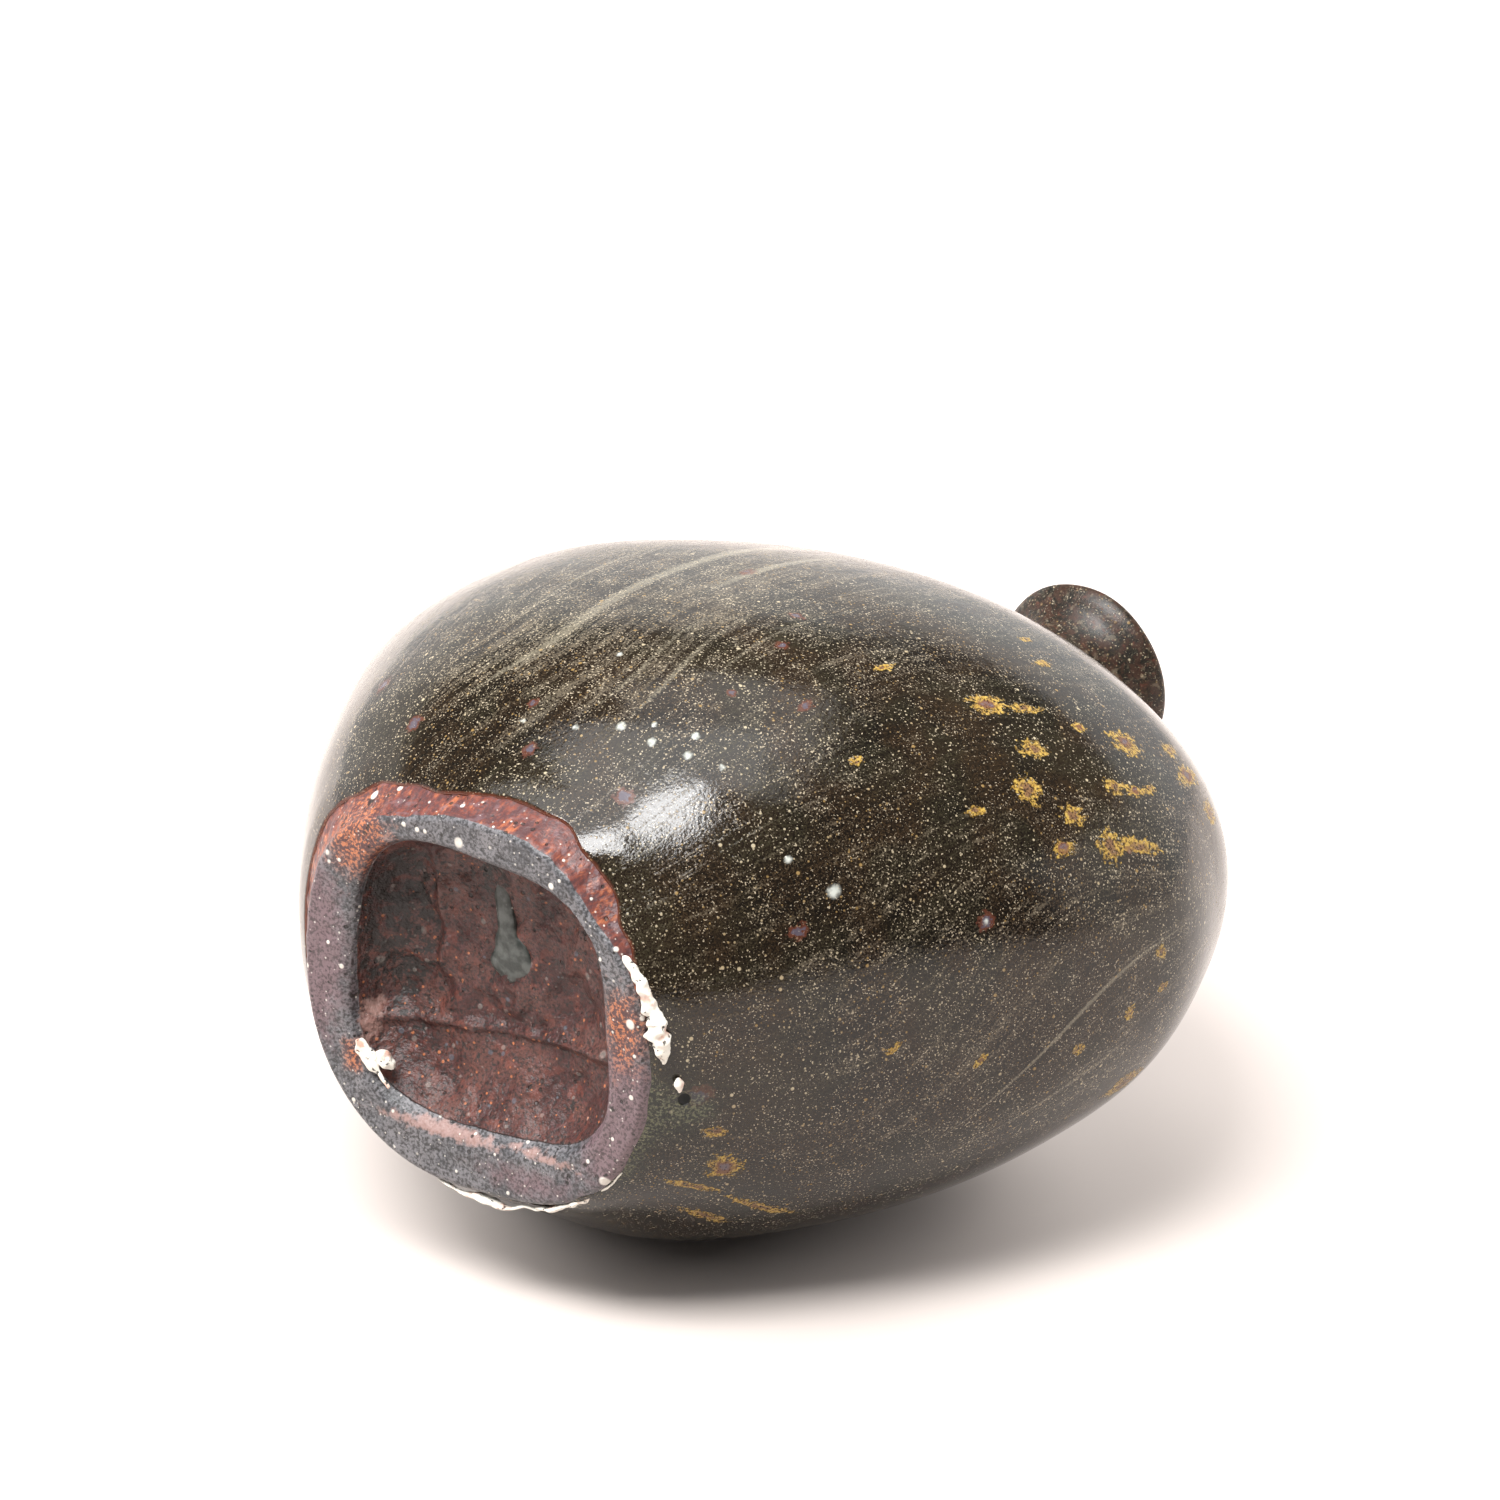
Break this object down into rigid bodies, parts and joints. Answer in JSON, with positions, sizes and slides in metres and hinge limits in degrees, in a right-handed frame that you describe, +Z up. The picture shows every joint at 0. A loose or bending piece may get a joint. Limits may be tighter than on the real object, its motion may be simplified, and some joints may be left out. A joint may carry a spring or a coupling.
{
  "type": "sake bottle",
  "caption": "Squat flattened stoneware sake bottle with a short flared neck, dark iron glaze and a bare recessed foot ring.",
  "frame": {"origin": "centre of the foot ring, on the surface it stands on", "axes": "+Z up along the bottle to its mouth, X across the broad faces, Y through the thin direction"},
  "size_m": [0.1282, 0.0834, 0.14],
  "materials": {
    "bare_clay": "rough, unglazed, iron-rich stoneware with sintered grey patches",
    "inner_clay": "fired stoneware under the glaze",
    "iron_glaze": "glossy dark olive-brown iron glaze with fine pale streaks, specks and ochre spots",
    "liner_glaze": "glossy dark brown liner glaze",
    "wad_crust": "rough pale setting-clay crust",
    "drip_glaze": "thin grey-green glaze drip"
  },
  "bodies": {
    "root": {"pot_base": "inner_clay", "pot_wall": "inner_clay", "pot_shoulder": "inner_clay", "foot_ring": "bare_clay", "neck": "inner_clay", "slip_seam": "inner_clay", "body_glaze": "iron_glaze", "neck_glaze": "iron_glaze", "inner_glaze": "liner_glaze", "kiln_wads": "wad_crust", "recess_splash": "drip_glaze"}
  },
  "joints": []
}
